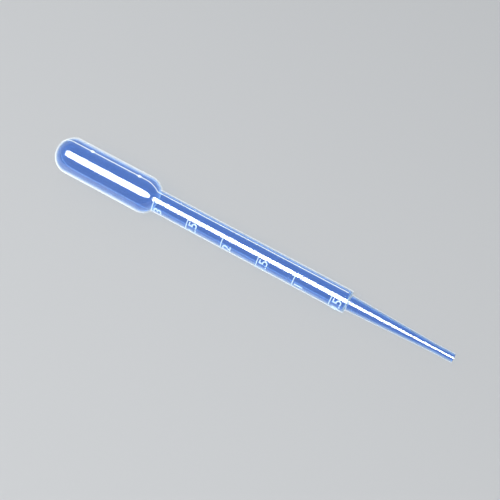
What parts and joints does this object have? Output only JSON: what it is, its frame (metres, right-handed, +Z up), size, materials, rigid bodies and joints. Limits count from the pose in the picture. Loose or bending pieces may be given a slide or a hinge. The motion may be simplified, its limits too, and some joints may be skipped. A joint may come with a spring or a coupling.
{
  "type": "graduated transfer pipette",
  "caption": "Clear one-piece transfer pipette with a squeeze bulb, a graduated stem, a step and a tapered tip, lying on its side.",
  "frame": {"origin": "on the surface that the pipette lies on, under the middle of its whole length", "axes": "+X from the closed end of the bulb towards the tip, level; +Y level, to the left of +X seen from above; +Z up. The pipette's own axis slopes down towards the tip by 1.93 degrees, because the bulb is thicker than the stem"},
  "size_m": [0.15, 0.0132, 0.0142],
  "materials": {
    "clear_wall": "clear, slightly hazy, faintly blue",
    "soft_wall": "clear, slightly hazy, flexible",
    "raised_marks": "clear raised lines and figures, rounded edges",
    "parting_line": "clear raised line where the mould halves met"
  },
  "bodies": {
    "moulding": {"bulb_end": "clear_wall", "bulb_upper_rib": "clear_wall", "bulb_lower_rib": "clear_wall", "bulb_shoulder": "clear_wall", "stem_upper_tube": "clear_wall", "stem_middle_tube": "clear_wall", "stem_lower_tube": "clear_wall", "stem_step": "clear_wall", "tip_cone": "clear_wall", "tip_spout": "clear_wall", "line_3_0_ml": "raised_marks", "line_2_5_ml": "raised_marks", "line_2_0_ml": "raised_marks", "line_1_5_ml": "raised_marks", "line_1_0_ml": "raised_marks", "line_0_5_ml": "raised_marks", "seam_bulb_end": "parting_line", "seam_bulb_upper": "parting_line", "seam_bulb_lower": "parting_line", "seam_shoulder_upper": "parting_line", "seam_shoulder_lower": "parting_line", "seam_stem_upper": "parting_line", "seam_stem_lower": "parting_line", "seam_bead_rear": "parting_line", "seam_bead_front": "parting_line"},
    "thumb_side": {"thumb_wall": "soft_wall"},
    "finger_side": {"finger_wall": "soft_wall"}
  },
  "joints": [
    {"name": "thumb_squeeze", "type": "slide", "parent": "moulding", "child": "thumb_side", "axis": [-0.0117, 0.9373, -0.3484], "range_m": [0, 0.0036], "stiffness_N_per_m": 600},
    {"name": "finger_squeeze", "type": "slide", "parent": "moulding", "child": "finger_side", "axis": [0.0117, -0.9373, 0.3484], "range_m": [0, 0.0036], "stiffness_N_per_m": 600}
  ],
  "couplings": [
    {"joint": "finger_squeeze", "follows": "thumb_squeeze", "ratio": 1}
  ]
}
